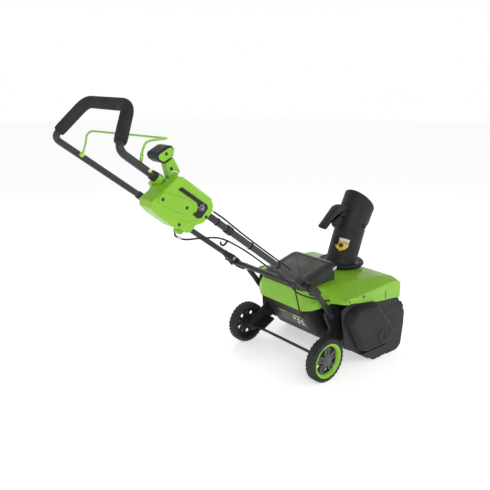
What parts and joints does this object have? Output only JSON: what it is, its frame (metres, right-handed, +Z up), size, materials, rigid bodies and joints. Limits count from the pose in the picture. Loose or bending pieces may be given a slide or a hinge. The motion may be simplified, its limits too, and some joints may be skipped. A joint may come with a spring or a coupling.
{
  "type": "snow thrower",
  "caption": "Walk-behind cordless snow thrower: belt-driven auger, swivelling chute with tilting deflector, wheels, battery bay under a lid, folding handle with bail switch and chute lever.",
  "frame": {"origin": "middle of the machine's overall footprint, on the ground", "axes": "+X to the machine's left, +Y back to the operator, +Z up"},
  "size_m": [0.561, 1.3152, 1.0806],
  "materials": {
    "green_shell": "moulded green plastic, satin",
    "bright_green": "light green plastic",
    "black_plastic": "fine grain",
    "grey_plastic": "fine grain",
    "lid_plastic": "fine grain",
    "battery_case": "smooth",
    "coated_tube": "satin powder coat",
    "foam": "closed-cell foam",
    "tyre": "matt",
    "rubber": "matt",
    "plated_steel": "zinc plated",
    "dark_steel": "blackened",
    "housing_black": "moulded, fine grain",
    "green_wire": "green powder coat"
  },
  "bodies": {
    "chassis": {"auger_housing": "housing_black", "scraper_bar": "rubber", "side_plate_left": "housing_black", "side_plate_right": "housing_black", "auger_bearing_left": "plated_steel", "auger_bearing_right": "plated_steel", "bearing_cap_left": "black_plastic", "drive_cover": "black_plastic", "motor_case": "plated_steel", "drive_belt": "rubber", "lower_body": "black_plastic", "motor_controller": "dark_steel", "hood": "green_shell", "battery_tray": "lid_plastic", "battery_pack": "battery_case", "lid_hinge_pin": "plated_steel", "chute_collar": "black_plastic", "axle": "dark_steel", "wheel_bracket_left": "black_plastic", "wheel_bracket_right": "black_plastic", "leg_left": "coated_tube", "leg_right": "coated_tube", "leg_bolt_left": "dark_steel", "leg_bolt_right": "dark_steel", "knuckle_left": "black_plastic", "knuckle_right": "black_plastic", "cross_tube": "coated_tube", "cable_grommet": "rubber"},
    "auger": {"auger_shaft": "plated_steel", "auger_blade_left": "rubber", "auger_blade_right": "rubber", "auger_pulley": "plated_steel"},
    "motor_rotor": {"motor_rotor": "plated_steel"},
    "battery_lid": {"battery_lid": "lid_plastic"},
    "chute": {"chute_tube": "black_plastic"},
    "deflector": {"deflector_shell": "black_plastic", "deflector_handle": "black_plastic"},
    "trigger": {"deflector_trigger": "black_plastic"},
    "wheel_left": {"tyre_left": "tyre", "rim_left": "black_plastic", "hub_cover_left": "grey_plastic"},
    "wheel_right": {"tyre_right": "tyre", "rim_right": "black_plastic", "hub_cover_right": "grey_plastic"},
    "upper_handle": {"handle_tube": "coated_tube", "foam_grip": "foam", "bail_pin_left": "bright_green", "bail_pin_right": "bright_green", "control_box_outer": "green_shell", "control_box_inner": "green_shell", "switch_module": "black_plastic", "control_panel": "black_plastic", "power_cable": "rubber", "chute_cable": "rubber"},
    "bail": {"bail_bar": "green_wire"},
    "start_button": {"start_button": "bright_green"},
    "lever": {"lever_arm": "green_shell", "lever_grip": "black_plastic"},
    "cam_lever_left": {"cam_lever_left": "black_plastic"},
    "cam_lever_right": {"cam_lever_right": "black_plastic"}
  },
  "joints": [
    {"name": "auger_spin", "type": "hinge", "parent": "chassis", "child": "auger", "pos_m": [0, -0.45, 0.125], "axis": [1, 0, 0], "continuous": true},
    {"name": "motor_spin", "type": "hinge", "parent": "chassis", "child": "motor_rotor", "pos_m": [0, -0.31, 0.222], "axis": [1, 0, 0], "continuous": true},
    {"name": "wheel_left_spin", "type": "hinge", "parent": "chassis", "child": "wheel_left", "pos_m": [0.232, -0.16, 0.089], "axis": [1, 0, 0], "continuous": true},
    {"name": "wheel_right_spin", "type": "hinge", "parent": "chassis", "child": "wheel_right", "pos_m": [-0.232, -0.16, 0.089], "axis": [1, 0, 0], "continuous": true},
    {"name": "chute_swivel", "type": "hinge", "parent": "chassis", "child": "chute", "pos_m": [0, -0.502, 0.3585], "axis": [0, 0, 1], "range_deg": [-80, 80]},
    {"name": "lever_swing", "type": "hinge", "parent": "upper_handle", "child": "lever", "pos_m": [-0.2155, 0.50164, 0.86827], "axis": [1, 0, 0], "range_deg": [-16, 16]},
    {"name": "deflector_tilt", "type": "hinge", "parent": "chute", "child": "deflector", "pos_m": [0, -0.55941, 0.52063], "axis": [1, 0, 0], "range_deg": [0, 30]},
    {"name": "trigger_squeeze", "type": "hinge", "parent": "deflector", "child": "trigger", "pos_m": [0, -0.47894, 0.55646], "axis": [1, 0, 0], "range_deg": [0, 8], "stiffness_Nm_per_rad": 0.2, "springref_deg": -11.46},
    {"name": "lid_open", "type": "hinge", "parent": "chassis", "child": "battery_lid", "pos_m": [0, -0.339, 0.4086], "axis": [1, 0, 0], "range_deg": [0, 75]},
    {"name": "handle_fold", "type": "hinge", "parent": "chassis", "child": "upper_handle", "pos_m": [0, -0.055, 0.4148], "axis": [1, 0, 0], "range_deg": [0, 112], "deforming": ["power_cable", "chute_cable"]},
    {"name": "bail_pull", "type": "hinge", "parent": "upper_handle", "child": "bail", "pos_m": [0, 0.57, 0.8943], "axis": [1, 0, 0], "range_deg": [-38, 0], "stiffness_Nm_per_rad": 0.4, "springref_deg": 28.65},
    {"name": "start_press", "type": "slide", "parent": "upper_handle", "child": "start_button", "axis": [0, -0.7964, -0.6048], "range_m": [0, 0.004], "stiffness_N_per_m": 300, "springref_m": -0.002},
    {"name": "cam_left_open", "type": "hinge", "parent": "chassis", "child": "cam_lever_left", "pos_m": [0.243, -0.055, 0.4148], "axis": [0, -0.7656, 0.6434], "range_deg": [0, 95]},
    {"name": "cam_right_open", "type": "hinge", "parent": "chassis", "child": "cam_lever_right", "pos_m": [-0.243, -0.055, 0.4148], "axis": [0, 0.7656, -0.6434], "range_deg": [0, 95]}
  ],
  "couplings": [
    {"joint": "motor_spin", "follows": "auger_spin", "ratio": 2.6667},
    {"joint": "lever_swing", "follows": "chute_swivel", "ratio": 0.2}
  ]
}
